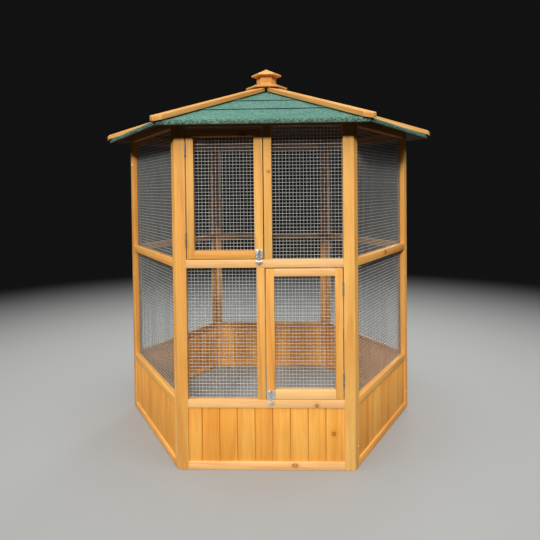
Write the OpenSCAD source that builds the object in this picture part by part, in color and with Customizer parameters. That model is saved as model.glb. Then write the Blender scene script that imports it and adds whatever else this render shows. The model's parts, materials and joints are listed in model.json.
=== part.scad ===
// Six-sided garden aviary: timber frame walls with weld mesh windows and boarded
// skirts, two framed doors in the front wall, and a felted six-panel roof.
// Origin: centre of the footprint on the ground. +Z up, the front wall faces -Y.
// All sizes in millimetres.

/* [Walls] */
// Outer width of one wall, corner to corner
wall_side = 650; // [560:5:800]
// Thickness of the frame timber
frame_t = 20; // [16:1:26]
// Width of a wall's two uprights
stile_w = 38; // [34:1:50]
// Height of the bottom, skirt and middle rails
rail_w = 30; // [26:1:40]
// Height of the top rail at its outer face
top_rail_w = 28; // [22:1:50]
// Height of the boarded skirt between its rails
skirt_h = 200; // [120:5:300]
// Height of the lower window
lower_window_h = 485; // [400:5:560]
// Height of the upper window
upper_window_h = 485; // [400:5:560]
// Width of the front wall's two centre posts
mullion_w = 29; // [22:1:40]
// Dark joint left between two walls at a corner
corner_gap = 0.5; // [0.2:0.1:0.9]
// Hairline left where one timber butts against or lies on another
joint_gap = 0.2; // [0.1:0.1:0.5]

/* [Skirt boards] */
// Thickness of a board
board_t = 10; // [8:1:12]
// Width that one board covers
board_cover = 65; // [50:1:90]
// Width of the first board, cut to fit
first_board_w = 51; // [40:1:65]
// Narrowest last board before it is left out
last_board_min_w = 30; // [20:1:40]
// Depth of the boards behind the frame's outer face
board_recess = 5; // [2:1:6]
// Joint between two boards
board_gap = 0.6; // [0.2:0.1:0.9]
// Bevel along a board's joint
board_bevel = 2; // [1:0.5:3]
// Length of a board's tongue
tongue_l = 4; // [3:0.5:6]
// Thickness of a board's tongue
tongue_t = 3; // [2:0.5:3.5]
// Clearance of a tongue in its groove
tongue_clear = 0.3; // [0.2:0.1:0.5]

/* [Weld mesh] */
// Thickness of the wire
wire_d = 1.2; // [0.8:0.1:1.6]
// Spacing of the main wires
mesh_pitch = 50.8; // [38.1:12.7:76.2]
// Lap of the mesh over the inside of its frame
mesh_lap = 12; // [8:1:12]

/* [Doors] */
// Width of a door's upright on the hinge side
door_hinge_stile_w = 27; // [24:1:36]
// Width of a door's upright on the bolt side
door_latch_stile_w = 31; // [30:1:40]
// Height of the upper door's top rail
upper_door_top_rail_w = 25; // [22:1:36]
// Height of the lower door's top rail
lower_door_top_rail_w = 28; // [24:1:36]
// Height of the upper door's bottom rail
upper_door_bottom_rail_w = 30; // [26:1:40]
// Height of the lower door's bottom rail
lower_door_bottom_rail_w = 34; // [26:1:40]
// Gap at a door's hinge edge, which holds the hinge leaves
hinge_gap = 4; // [3.5:0.1:6]
// Gap at a door's bolt edge
latch_gap = 3.5; // [2:0.5:5]
// Gap over the upper door, so that it swings clear under the eave
upper_door_top_gap = 10; // [8:0.5:14]
// Gap over the lower door
lower_door_top_gap = 4; // [3:0.5:6]
// Gap under a door
door_bottom_gap = 2.5; // [2:0.5:4]

/* [Hinges] */
// Height of a hinge
hinge_h = 50; // [40:5:65]
// Distance of a hinge's middle from the door's end
hinge_inset = 72; // [50:1:100]
// Thickness of a hinge leaf
leaf_t = 1.2; // [1:0.1:1.4]
// Depth of a hinge leaf behind the frame's outer face
leaf_depth = 17; // [15:1:19]
// Distance of a leaf's screws from the leaf's ends
leaf_screw_inset = 10; // [7:1:15]
// Diameter of a hinge knuckle
knuckle_d = 6; // [5.5:0.1:7]
// Number of knuckles on a hinge
knuckle_count = 5; // [3:2:7]
// Slit between two knuckles
knuckle_gap = 0.3; // [0.2:0.1:0.5]
// Diameter of a hinge pin
pin_d = 3; // [2.5:0.1:3.4]
// Clearance round a pin, a bolt rod or a screw, on the radius
running_clear = 0.05; // [0.02:0.01:0.1]
// Clearance between a leaf and the other leaf's knuckles
leaf_clear = 0.6; // [0.4:0.1:0.8]

/* [Bolts] */
// Distance of a bolt from the door's bolt edge
bolt_inset = 16; // [14:0.5:18]
// Width of a bolt's base plate
bolt_plate_w = 27; // [25:1:28]
// Height of a bolt's base plate
bolt_plate_h = 33; // [30:1:40]
// Thickness of the base plates
plate_t = 1.2; // [1:0.1:1.6]
// Diameter of a bolt rod
rod_d = 5; // [4:0.5:6]
// Wall of the bolt's barrel
barrel_wall = 1.4; // [1.2:0.1:2]
// Metal left between the bolt rod's bore and the base plate
bore_floor = 0.5; // [0.3:0.1:1]
// Barrel left above a drawn bolt's knob
slot_end = 2.6; // [2:0.1:4]
// Distance of a plate's screws from the plate's ends
plate_screw_inset = 6; // [5:0.5:8]
// Radius of the base plates' corners
plate_corner_r = 3; // [1:0.5:4]
// Travel of a bolt
bolt_travel = 20; // [18:0.5:21]
// Distance from a drawn bolt's tip up to the door's lower edge
drawn_tip = -3.5; // [-4:0.5:2]
// Diameter of a bolt's knob stem
knob_d = 4; // [3:0.5:4.5]
// Length of a bolt's knob in front of the barrel
knob_l = 4.5; // [3:0.5:8]
// Clearance round the knob stem in its slot
slot_clear = 0.4; // [0.3:0.1:0.6]
// Height of a keeper
keeper_h = 12; // [10:1:16]
// Depth of a keeper below its rail's upper edge
keeper_drop = 4.5; // [4:0.5:8]
// Clearance of the bolt rod in its keeper
keeper_clear = 0.9; // [0.6:0.1:1.2]

/* [Roof] */
// Slope of a roof panel
roof_pitch = 19; // [12:0.5:26]
// Overhang of the eave in front of a wall
eave_overhang = 86.5; // [60:0.5:120]
// Thickness of the roof boarding
deck_t = 10; // [8:1:14]
// Cover width of a roof board
deck_board_w = 90; // [70:5:120]
// Depth of the groove between roof boards
deck_groove = 2; // [1:0.5:3]
// Thickness of the roofing felt
felt_t = 2.5; // [2:0.5:4]
// Reach of the felt below the roof boarding at the eave
felt_drip = 2.5; // [0:0.5:6]
// Slope width of one course of felt
felt_course_w = 185; // [150:5:200]
// Number of felt courses on a panel
felt_courses = 3; // [2:1:3]
// Step where one course laps the next
felt_lap_t = 2; // [1:0.5:3]
// Width of a lap
felt_lap_w = 60; // [40:5:90]
// Gap between two panels' boarding at a hip
deck_hip_gap = 2; // [1:0.5:4]
// Gap between two panels' felt at a hip
felt_hip_gap = 6; // [4:1:9]

/* [Hip battens] */
// Width of a hip batten
batten_w = 57; // [40:1:60]
// Thickness of a hip batten
batten_t = 18; // [14:1:24]
// Reach of a batten's point past the roof's corner
batten_overhang = 10; // [0:1:16]
// Distance of a batten's upper end from the middle of the roof
batten_end_r = 57; // [55:1:70]

/* [Finial] */
// Corner radius of the finial's base plate
finial_plate_r = 97; // [80:1:120]
// Thickness of the finial's base plate
finial_plate_t = 8; // [6:1:16]
// Corner radius of the finial's block
finial_block_r = 46; // [38:1:60]
// Height of the finial's block
finial_block_h = 52; // [30:1:60]
// Corner radius of the finial's cap
finial_cap_r = 70; // [50:1:80]
// Height of the cap's edge
finial_cap_edge_h = 6; // [4:1:10]
// Rise of the cap from its edge to its point
finial_cap_rise = 29; // [26:1:50]
// Diameter of the dowel through the finial
dowel_d = 10; // [8:1:12]
// Reach of the dowel into the cap
dowel_reach = 18; // [10:1:20]

/* [Screws] */
// Distance of the lowest corner screws above the bottom rail
corner_screw_lift = 50; // [30:5:100]
// Distance of the other corner screws below the middle and top rails
corner_screw_drop = 107; // [60:1:140]
// Distance of a corner screw's head from the corner
corner_screw_inset = 24; // [22:1:26]
// Length of a corner screw below its head
corner_screw_l = 32; // [28:1:34]
// Distance of a batten's first hip screw from the finial's base plate
hip_screw_top_inset = 73; // [40:1:100]
// Distance of a batten's last hip screw from the roof's corner
hip_screw_tip_inset = 60; // [50:1:100]
// Distance of a hip screw from the middle of its batten
hip_screw_offset = 10; // [8:0.5:12]
// Length of a hip screw below its head
hip_screw_l = 26; // [24:0.5:27]
// Diameter of a wood screw
screw_d = 4; // [3:0.5:5]
// Diameter of a wood screw's head
screw_head_d = 8; // [7:0.5:9]
// Height of a wood screw's head
screw_head_h = 2.5; // [2:0.5:4]
// Diameter of a small screw in the hinges and bolts
small_screw_d = 2.5; // [2:0.1:3]
// Diameter of a small screw's head
small_head_d = 4.6; // [4:0.1:5.4]
// Length of a small screw
small_screw_l = 12; // [10:1:14]
// Clearance round a sunk screw head
head_clear = 0.3; // [0.2:0.1:0.5]

/* [Hidden] */

$fn = 48;
wood = "#d79a4b";
pale_wood = "#e2b271";
deck_wood = "#b97f43";
felt_green = "#5f9280";
zinc = "#c4c7c9";
wire = "#aeb2b4";

// Walls are numbered from the front, turning to the right
FRONT = 0;
RIGHT_FRONT = 1;
RIGHT_REAR = 2;
REAR = 3;
LEFT_REAR = 4;
LEFT_FRONT = 5;
wall_count = 6;
wall_turn = 360 / wall_count;
half_turn = wall_turn / 2;
apothem = wall_side / 2 / tan(half_turn);
// A hair over a cut, so that no skin is left on it
over = 1;

// Heights of the rails' edges and the window openings
skirt_z0 = rail_w;
skirt_z1 = skirt_z0 + skirt_h;
lower_z0 = skirt_z1 + rail_w;
lower_z1 = lower_z0 + lower_window_h;
upper_z0 = lower_z1 + rail_w;
upper_z1 = upper_z0 + upper_window_h;
wall_h = upper_z1 + top_rail_w;
inner_x = wall_side / 2 - stile_w;
corner_screw_heights = [skirt_z0 + corner_screw_lift,
    lower_z1 - corner_screw_drop,
    upper_z1 - corner_screw_drop];

// Roof planes: n is the distance from the middle of the roof towards a wall
slope = tan(roof_pitch);
deck_rise = deck_t / cos(roof_pitch);
felt_rise = felt_t / cos(roof_pitch);
eave_n = apothem + eave_overhang;
function wall_top(n) = wall_h + slope * (apothem - n);
function deck_under(n) = wall_top(n) + joint_gap;
function deck_top(n) = deck_under(n) + deck_rise;
function felt_top(n) = deck_top(n) + felt_rise;

// Hips run from the middle to the roof's corners
hip_slope = slope * cos(half_turn);
roof_corner_r = eave_n / cos(half_turn);
batten_rise = batten_t * sqrt(1 + hip_slope * hip_slope);
batten_tip_r = roof_corner_r + batten_overhang;
felt_edge_drop = slope * felt_hip_gap / 2 * sin(half_turn);
function batten_under(r) = felt_top(0) - hip_slope * r - felt_edge_drop + felt_lap_t;
function batten_top(r) = batten_under(r) + batten_rise;
hip_screw_top_r = finial_plate_r + hip_screw_top_inset;
hip_screw_tip_r = roof_corner_r - hip_screw_tip_inset;
hip_screw_radii = [hip_screw_top_r, (hip_screw_top_r + hip_screw_tip_r) / 2, hip_screw_tip_r];

// Finial levels
finial_z = batten_top(batten_end_r);
finial_block_z = finial_z + finial_plate_t;
finial_cap_z = finial_block_z + finial_block_h;
dowel_top_z = finial_cap_z + dowel_reach;

// Doors: the upper one is hinged on the left, the lower one is its mirror image
door_x0 = -inner_x + hinge_gap;
door_x1 = -latch_gap;
upper_door_z0 = upper_z0 + door_bottom_gap;
upper_door_z1 = upper_z1 - upper_door_top_gap;
lower_door_z0 = lower_z0 + door_bottom_gap;
lower_door_z1 = lower_z1 - lower_door_top_gap;
pin_x = -inner_x + hinge_gap / 2;
pin_y = -knuckle_d / 2;
knuckle_pitch = hinge_h / knuckle_count;
leaf_screw_y = frame_t / 2;
leaf_screw_z = hinge_h / 2 - leaf_screw_inset;
leaf_head_h = leaf_t / 2;

// Bolts: a rod slides down through a barrel on the door into a keeper on the rail
bolt_x = door_x1 - bolt_inset;
barrel_r = rod_d / 2 + running_clear + barrel_wall;
rod_y = -plate_t - bore_floor - running_clear - rod_d / 2;
knob_drop = knob_d / 2 + slot_clear + slot_end;
rod_l = bolt_plate_h - drawn_tip;
plate_screw_x = barrel_r + (bolt_plate_w / 2 - barrel_r) / 2;
plate_screw_z = [plate_screw_inset, bolt_plate_h - plate_screw_inset];
keeper_loop_w = rod_d + 2 * keeper_clear;

// Placing

// Stands a child drawn in wall coordinates on a wall: x along it, y inwards, z up
module on_wall(index) {
    rotate([0, 0, index * wall_turn])
        translate([0, -apothem, 0])
            children();
}

// Extrudes an outline drawn as (y, z) along x, centred
module along_x(length) {
    translate([-length / 2, 0, 0])
        rotate([90, 0, 90])
            linear_extrude(length)
                children();
}

module block(x0, x1, y0, y1, z0, z1) {
    translate([x0, y0, z0])
        cube([x1 - x0, y1 - y0, z1 - z0]);
}

// Flips a left-hand door piece for the lower, right-hand door
module handed(lower) {
    if (lower) {
        mirror([1, 0, 0])
            children();
    } else {
        children();
    }
}

// Screws

// A corner screw's line: z runs square to the mitre, from the face of the wall
module on_corner_screws(corner) {
    head_on_next = [true, false, false, true, true, false];
    wall = head_on_next[corner] ? corner + 1 : corner;
    for (z = corner_screw_heights) {
        on_wall(wall)
            mirror([head_on_next[corner] ? 1 : 0, 0, 0])
                translate([wall_side / 2 - corner_screw_inset, 0, z])
                    rotate([0, 0, half_turn])
                        rotate([0, 90, 0])
                            children();
    }
}

// The head lies half sunk in the face
corner_head_seat = screw_head_d / 2 * tan(half_turn) + screw_head_h;

module wood_screw(length) {
    translate([0, 0, -screw_head_h])
        cylinder(d = screw_head_d, h = screw_head_h);
    cylinder(d = screw_d, h = length);
}

module wood_screw_space(length) {
    translate([0, 0, -3 * screw_head_d])
        cylinder(d = screw_head_d + 2 * head_clear, h = 3 * screw_head_d);
    translate([0, 0, -over])
        cylinder(r = screw_d / 2 + running_clear, h = length + over + head_clear);
}

module corner_screw_spaces(corner) {
    on_corner_screws(corner)
        translate([0, 0, corner_head_seat])
            wood_screw_space(corner_screw_l);
}

module corner_screws() {
    color(zinc)
        for (corner = [0 : wall_count - 1]) {
            on_corner_screws(corner)
                translate([0, 0, corner_head_seat])
                    wood_screw(corner_screw_l);
        }
}

// A small screw along +z, its head under the plane z = 0 by sunk
module small_screw(sunk, head_h) {
    translate([0, 0, sunk - head_h])
        cylinder(d = small_head_d, h = head_h);
    cylinder(d = small_screw_d, h = small_screw_l);
}

module small_screw_hole() {
    translate([0, 0, -over])
        cylinder(r = small_screw_d / 2 + running_clear, h = small_screw_l + over + head_clear);
}

// Wall pieces

// The wall's cross-section, its top sloped to carry the roof
module wall_section(z0) {
    polygon([[0, z0], [frame_t, z0], [frame_t, wall_top(apothem - frame_t)], [0, wall_h]]);
}

// A mitred upright at the right-hand end of a wall
module right_stile_solid() {
    mitre = frame_t * tan(half_turn);
    ease = corner_gap / 2 / cos(half_turn);
    end_x = wall_side / 2 - ease;
    intersection() {
        linear_extrude(2 * wall_h)
            polygon([[inner_x, 0], [end_x, 0], [end_x - mitre, frame_t], [inner_x, frame_t]]);
        along_x(wall_side)
            wall_section(0);
    }
}

module stile(wall, right) {
    corner = right ? wall : (wall + wall_count - 1) % wall_count;
    difference() {
        on_wall(wall)
            mirror([right ? 0 : 1, 0, 0])
                right_stile_solid();
        corner_screw_spaces(corner);
    }
}

module top_rail() {
    along_x(2 * (inner_x - joint_gap))
        wall_section(upper_z1);
}

module rail(z0) {
    end_x = inner_x - joint_gap;
    block(-end_x, end_x, 0, frame_t, z0, z0 + rail_w);
}

// Skirt boards

board_span = 2 * inner_x;
board_joints = floor((board_span - first_board_w - last_board_min_w) / board_cover) + 1;
board_edges = concat(
    [-inner_x],
    [for (k = [0 : board_joints - 1]) -inner_x + first_board_w + k * board_cover],
    [inner_x]);

function board_left(x, first) =
    let (mid = board_t / 2, half = tongue_t / 2 + tongue_clear, edge = x + board_gap / 2)
    let (deep = edge + tongue_l + tongue_clear)
    first ? [[x, board_t], [x, 0]] : [[edge, board_t], [edge, mid + half], [deep, mid + half],
        [deep, mid - half], [edge, mid - half], [edge, board_bevel], [edge + board_bevel, 0]];

function board_right(x, last) =
    let (mid = board_t / 2, half = tongue_t / 2, edge = x - board_gap / 2)
    last ? [[x, 0], [x, board_t]] : [[edge - board_bevel, 0], [edge, board_bevel],
        [edge, mid - half], [edge + tongue_l, mid - half], [edge + tongue_l, mid + half],
        [edge, mid + half], [edge, board_t]];

module boards(wall) {
    color(pale_wood)
        on_wall(wall)
            for (k = [0 : board_joints]) {
                translate([0, board_recess, skirt_z0])
                    linear_extrude(skirt_h)
                        polygon(concat(
                            board_left(board_edges[k], k == 0),
                            board_right(board_edges[k + 1], k == board_joints)));
            }
}

// Weld mesh over an opening, laid on the inside of its frame
module mesh(x0, x1, z0, z1) {
    w = x1 - x0 + 2 * mesh_lap;
    h = z1 - z0 + 2 * mesh_lap;
    columns = round(w / mesh_pitch);
    rows = round(h / mesh_pitch);
    step_x = (w - wire_d) / columns;
    step_z = (h - wire_d) / rows;
    color(wire)
        translate([x0 - mesh_lap, frame_t + wire_d, z0 - mesh_lap])
            rotate([90, 0, 0])
                linear_extrude(wire_d)
                    difference() {
                        square([w, h]);
                        for (i = [0 : columns - 1], j = [0 : rows - 1]) {
                            translate([wire_d + i * step_x, wire_d + j * step_z])
                                square([step_x - wire_d, step_z - wire_d]);
                        }
                    }
}

// Plain walls

module plain_frame(wall) {
    color(wood) {
        stile(wall, true);
        stile(wall, false);
        on_wall(wall) {
            top_rail();
            rail(lower_z1);
            rail(skirt_z1);
            rail(0);
        }
    }
}

module plain_mesh(wall) {
    on_wall(wall) {
        mesh(-inner_x, inner_x, lower_z0, lower_z1);
        mesh(-inner_x, inner_x, upper_z0, upper_z1);
    }
}

// Front wall

module front_left_stile() {
    color(wood)
        difference() {
            stile(FRONT, false);
            frame_leaf_screw_holes(false);
        }
}

module front_right_stile() {
    color(wood)
        difference() {
            stile(FRONT, true);
            frame_leaf_screw_holes(true);
        }
}

module front_top_rail() {
    color(wood)
        on_wall(FRONT)
            top_rail();
}

module front_mid_rail() {
    color(wood)
        difference() {
            on_wall(FRONT)
                rail(lower_z1);
            keeper_screw_holes(false);
        }
}

module front_skirt_rail() {
    color(wood)
        difference() {
            on_wall(FRONT)
                rail(skirt_z1);
            keeper_screw_holes(true);
        }
}

module front_bottom_rail() {
    color(wood)
        on_wall(FRONT)
            rail(0);
}

module front_upper_mullion() {
    color(wood)
        on_wall(FRONT)
            block(0, mullion_w, 0, frame_t, upper_z0 + joint_gap, upper_z1 - joint_gap);
}

module front_lower_mullion() {
    color(wood)
        on_wall(FRONT)
            block(-mullion_w, 0, 0, frame_t, lower_z0 + joint_gap, lower_z1 - joint_gap);
}

module front_upper_mesh() {
    on_wall(FRONT)
        mesh(mullion_w, inner_x, upper_z0, upper_z1);
}

module front_lower_mesh() {
    on_wall(FRONT)
        mesh(-inner_x, -mullion_w, lower_z0, lower_z1);
}

// Doors

function door_z0(lower) = lower ? lower_door_z0 : upper_door_z0;
function door_z1(lower) = lower ? lower_door_z1 : upper_door_z1;
function door_top_rail_w(lower) = lower ? lower_door_top_rail_w : upper_door_top_rail_w;
function door_bottom_rail_w(lower) = lower ? lower_door_bottom_rail_w : upper_door_bottom_rail_w;
door_inner_x0 = door_x0 + door_hinge_stile_w;
door_inner_x1 = door_x1 - door_latch_stile_w;

module on_door(lower) {
    on_wall(FRONT)
        handed(lower)
            children();
}

module door_hinge_stile(lower) {
    color(wood)
        on_door(lower)
            difference() {
                block(door_x0, door_inner_x0, 0, frame_t, door_z0(lower), door_z1(lower));
                on_leaf_screws(lower, true)
                    small_screw_hole();
            }
}

module door_latch_stile(lower) {
    color(wood)
        on_door(lower)
            difference() {
                block(door_inner_x1, door_x1, 0, frame_t, door_z0(lower), door_z1(lower));
                on_plate_screws(lower)
                    small_screw_hole();
            }
}

module door_rail(lower, z0, height) {
    color(wood)
        on_door(lower)
            block(door_inner_x0 + joint_gap, door_inner_x1 - joint_gap, 0, frame_t, z0, z0 + height);
}

module door_top_rail(lower) {
    door_rail(lower, door_z1(lower) - door_top_rail_w(lower), door_top_rail_w(lower));
}

module door_bottom_rail(lower) {
    door_rail(lower, door_z0(lower), door_bottom_rail_w(lower));
}

module door_mesh(lower) {
    z0 = door_z0(lower) + door_bottom_rail_w(lower);
    z1 = door_z1(lower) - door_top_rail_w(lower);
    on_door(lower)
        mesh(door_inner_x0, door_inner_x1, z0, z1);
}

// Hinges

function hinge_z(lower) = [door_z0(lower) + hinge_inset, door_z1(lower) - hinge_inset];

// Screw places on the leaves: +z runs into the timber from the leaf's open face
module on_leaf_screws(lower, door_side) {
    face_x = door_side ? door_x0 - leaf_t : -inner_x + leaf_t;
    for (z = hinge_z(lower), side = [-1, 1]) {
        translate([face_x, leaf_screw_y, z + side * leaf_screw_z])
            rotate([0, door_side ? 90 : -90, 0])
                children();
    }
}

// One leaf with its share of the knuckles, at the middle of a hinge
module hinge_leaf(door_side) {
    leaf_x = door_side ? door_x0 - leaf_t : -inner_x;
    own = door_side ? 1 : 0;
    barrel_l = knuckle_pitch - knuckle_gap;
    difference() {
        union() {
            block(leaf_x, leaf_x + leaf_t, pin_y, leaf_depth, -hinge_h / 2, hinge_h / 2);
            for (k = [own : 2 : knuckle_count - 1]) {
                translate([pin_x, pin_y, (k - knuckle_count / 2) * knuckle_pitch + knuckle_gap / 2])
                    cylinder(d = knuckle_d, h = barrel_l);
            }
        }
        translate([pin_x, pin_y, -hinge_h])
            cylinder(r = pin_d / 2 + running_clear, h = 2 * hinge_h);
        for (k = [1 - own : 2 : knuckle_count - 1]) {
            translate([pin_x, pin_y, (k - knuckle_count / 2) * knuckle_pitch - knuckle_gap / 2])
                cylinder(r = knuckle_d / 2 + leaf_clear, h = knuckle_pitch + knuckle_gap);
        }
    }
}

module hinge_leaves(lower, door_side) {
    difference() {
        for (z = hinge_z(lower)) {
            translate([0, 0, z])
                hinge_leaf(door_side);
        }
        on_leaf_screws(lower, door_side) {
            small_screw_hole();
            translate([0, 0, -over])
                cylinder(d = small_head_d + head_clear, h = leaf_head_h + over);
        }
    }
}

module door_hinge_leaves(lower) {
    color(zinc)
        on_door(lower)
            hinge_leaves(lower, true);
}

module frame_hinge_leaves() {
    color(zinc)
        for (lower = [false, true]) {
            on_door(lower)
                hinge_leaves(lower, false);
        }
}

module frame_leaf_screw_holes(lower) {
    on_door(lower)
        on_leaf_screws(lower, false)
            small_screw_hole();
}

module hinge_pins() {
    color(zinc)
        for (lower = [false, true]) {
            on_door(lower)
                for (z = hinge_z(lower)) {
                    translate([pin_x, pin_y, z - hinge_h / 2])
                        cylinder(d = pin_d, h = hinge_h);
                }
        }
}

// Bolts

// Screw places on the bolt's base plate: +z runs into the door
module on_plate_screws(lower) {
    for (side = [-1, 1], z = plate_screw_z) {
        translate([bolt_x + side * plate_screw_x, -plate_t, door_z0(lower) + z])
            rotate([-90, 0, 0])
                children();
    }
}

// Screw places on the keeper's plate: +z runs into the rail
function keeper_z1(lower) = (lower ? lower_z0 : upper_z0) - keeper_drop;

module on_keeper_screws(lower) {
    for (side = [-1, 1]) {
        translate([bolt_x + side * plate_screw_x, -plate_t, keeper_z1(lower) - keeper_h / 2])
            rotate([-90, 0, 0])
                children();
    }
}

// A stamped plate on the front's outer face, its corners rounded
module base_plate(z0, z1) {
    x0 = bolt_x - bolt_plate_w / 2;
    x1 = bolt_x + bolt_plate_w / 2;
    block(x0 + plate_corner_r, x1 - plate_corner_r, -plate_t, 0, z0, z1);
    block(x0, x1, -plate_t, 0, z0 + plate_corner_r, z1 - plate_corner_r);
    for (x = [x0 + plate_corner_r, x1 - plate_corner_r], z = [z0 + plate_corner_r, z1 - plate_corner_r]) {
        translate([x, 0, z])
            rotate([90, 0, 0])
                cylinder(r = plate_corner_r, h = plate_t);
    }
}

module bolt_case(lower) {
    z0 = door_z0(lower);
    slot_w = knob_d + 2 * slot_clear;
    knob_z = z0 + bolt_plate_h - knob_drop;
    color(zinc)
        on_door(lower)
            difference() {
                union() {
                    base_plate(z0, z0 + bolt_plate_h);
                    block(bolt_x - barrel_r, bolt_x + barrel_r, rod_y, -plate_t / 2,
                        z0, z0 + bolt_plate_h);
                    translate([bolt_x, rod_y, z0])
                        cylinder(r = barrel_r, h = bolt_plate_h);
                }
                translate([bolt_x, rod_y, z0 - over])
                    cylinder(r = rod_d / 2 + running_clear, h = bolt_plate_h + 2 * over);
                block(bolt_x - slot_w / 2, bolt_x + slot_w / 2, rod_y - 2 * barrel_r, rod_y,
                    knob_z - bolt_travel - slot_w / 2, knob_z + slot_w / 2);
                on_plate_screws(lower)
                    small_screw_hole();
            }
}

module bolt(lower) {
    z0 = door_z0(lower);
    knob_z = z0 + bolt_plate_h - knob_drop;
    color(zinc)
        on_door(lower) {
            translate([bolt_x, rod_y, z0 + drawn_tip])
                cylinder(d = rod_d, h = rod_l);
            translate([bolt_x, rod_y, knob_z])
                rotate([90, 0, 0])
                    cylinder(d = knob_d, h = barrel_r + knob_l);
        }
}

module bolt_keepers() {
    color(zinc)
        for (lower = [false, true]) {
            on_door(lower)
                bolt_keeper(lower);
        }
}

module bolt_keeper(lower) {
    z1 = keeper_z1(lower);
    z0 = z1 - keeper_h;
    loop_y = rod_y - keeper_loop_w / 2;
    half_in = keeper_loop_w / 2;
    half_out = half_in + plate_t;
    difference() {
        union() {
            base_plate(z0, z1);
            difference() {
                block(bolt_x - half_out, bolt_x + half_out, loop_y - plate_t, -plate_t / 2, z0, z1);
                block(bolt_x - half_in, bolt_x + half_in, loop_y, -plate_t, z0 - over, z1 + over);
            }
        }
        on_keeper_screws(lower)
            small_screw_hole();
    }
}

module keeper_screw_holes(lower) {
    on_door(lower)
        on_keeper_screws(lower)
            small_screw_hole();
}

// Small screws

module door_screws(lower) {
    color(zinc)
        on_door(lower) {
            on_leaf_screws(lower, true)
                small_screw(leaf_head_h, leaf_head_h);
            on_plate_screws(lower)
                small_screw(0, plate_t);
        }
}

module hardware_screws() {
    color(zinc)
        for (lower = [false, true]) {
            on_door(lower) {
                on_leaf_screws(lower, false)
                    small_screw(leaf_head_h, leaf_head_h);
                on_keeper_screws(lower)
                    small_screw(0, plate_t);
            }
        }
}

// Roof

// Lays a child drawn in roof coordinates over a wall: x along the eave, -y outwards
module on_panel(index) {
    rotate([0, 0, index * wall_turn])
        children();
}

// The plan of one panel, cut back from its two hips by half of gap
module panel_plan(gap) {
    tip_n = gap / 2 / sin(half_turn);
    end_n = eave_n + over;
    end_x = (end_n - tip_n) * tan(half_turn);
    linear_extrude(3 * wall_h)
        polygon([[0, -tip_n], [-end_x, -end_n], [end_x, -end_n]]);
}

// A panel's cross-section is drawn as (n, z) and turned to face outwards
module panel_slab(gap) {
    intersection() {
        panel_plan(gap);
        mirror([0, 1, 0])
            along_x(2 * roof_corner_r)
                children();
    }
}

deck_end_n = eave_n - felt_t;
felt_end_z = deck_under(deck_end_n) - felt_drip;
deck_grooves = floor((deck_end_n - deck_board_w / 2) / deck_board_w);
function groove_points(n) = [
    [n + deck_groove, deck_under(n + deck_groove)],
    [n, deck_under(n) + deck_groove],
    [n - deck_groove, deck_under(n - deck_groove)]];

module roof_decks() {
    color(deck_wood)
        for (wall = [0 : wall_count - 1]) {
            difference() {
                on_panel(wall)
                    panel_slab(deck_hip_gap)
                        polygon(concat(
                            [[0, deck_under(0)], [0, deck_top(0)]],
                            [[deck_end_n, deck_top(deck_end_n)], [deck_end_n, deck_under(deck_end_n)]],
                            [for (k = [1 : deck_grooves])
                                each groove_points(deck_end_n - k * deck_board_w)]));
                hip_screw_spaces(wall);
            }
        }
}

function lap_points(n) = [
    [n - felt_lap_w, felt_top(n - felt_lap_w)],
    [n, felt_top(n) + felt_lap_t],
    [n, felt_top(n)]];

module roof_felts() {
    color(felt_green)
        for (wall = [0 : wall_count - 1]) {
            difference() {
                on_panel(wall)
                    panel_slab(felt_hip_gap)
                        polygon(concat(
                            [[0, deck_top(0)], [0, felt_top(0)]],
                            [for (k = [felt_courses - 1 : -1 : 1])
                                each lap_points(eave_n - k * felt_course_w)],
                            [[eave_n, felt_top(eave_n)], [eave_n, felt_end_z]],
                            [[deck_end_n, felt_end_z], [deck_end_n, deck_top(deck_end_n)]]));
                hip_screw_spaces(wall);
            }
        }
}

// Places a child on a hip: x runs outwards along it, the hip lies right of its wall
module on_hip(index) {
    rotate([0, 0, index * wall_turn + half_turn - 90])
        children();
}

module hip_battens() {
    point_l = batten_w / 2 * tan(half_turn);
    color(pale_wood)
        for (hip = [0 : wall_count - 1]) {
            difference() {
                on_hip(hip)
                    intersection() {
                        translate([0, batten_w / 2, 0])
                            rotate([90, 0, 0])
                                linear_extrude(batten_w)
                                    polygon([
                                        [batten_end_r, batten_under(batten_end_r)],
                                        [batten_tip_r, batten_under(batten_tip_r)],
                                        [batten_tip_r, batten_top(batten_tip_r)],
                                        [batten_end_r, batten_top(batten_end_r)]]);
                        linear_extrude(3 * wall_h)
                            polygon([
                                [0, -batten_w / 2 - over],
                                [batten_tip_r - point_l, -batten_w / 2],
                                [batten_tip_r, 0],
                                [batten_tip_r - point_l, batten_w / 2],
                                [0, batten_w / 2 + over]]);
                    }
                hip_screw_spaces(hip);
            }
        }
}

// Hip screws stand beside the hip, over the panel on their left
hip_head_seat = hip_slope * screw_head_d / 2 + screw_head_h;

module on_hip_screws(hip) {
    on_hip(hip)
        for (r = hip_screw_radii) {
            translate([r, -hip_screw_offset, batten_top(r) - hip_head_seat])
                mirror([0, 0, 1])
                    children();
        }
}

module hip_screw_spaces(hip) {
    on_hip_screws(hip)
        wood_screw_space(hip_screw_l);
}

module hip_screws() {
    color(zinc)
        for (hip = [0 : wall_count - 1]) {
            on_hip_screws(hip)
                wood_screw(hip_screw_l);
        }
}

// Finial

// A six-sided block whose flats lie parallel to the walls
module hex_block(r, z0, h) {
    translate([0, 0, z0])
        cylinder(r = r, h = h, $fn = wall_count);
}

module dowel_space() {
    translate([0, 0, finial_z - over])
        cylinder(r = dowel_d / 2 + running_clear, h = dowel_top_z - finial_z + over + head_clear);
}

module finial_plate() {
    color(wood)
        difference() {
            hex_block(finial_plate_r, finial_z, finial_plate_t);
            dowel_space();
        }
}

module finial_block() {
    color(wood)
        difference() {
            hex_block(finial_block_r, finial_block_z, finial_block_h);
            dowel_space();
        }
}

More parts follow.
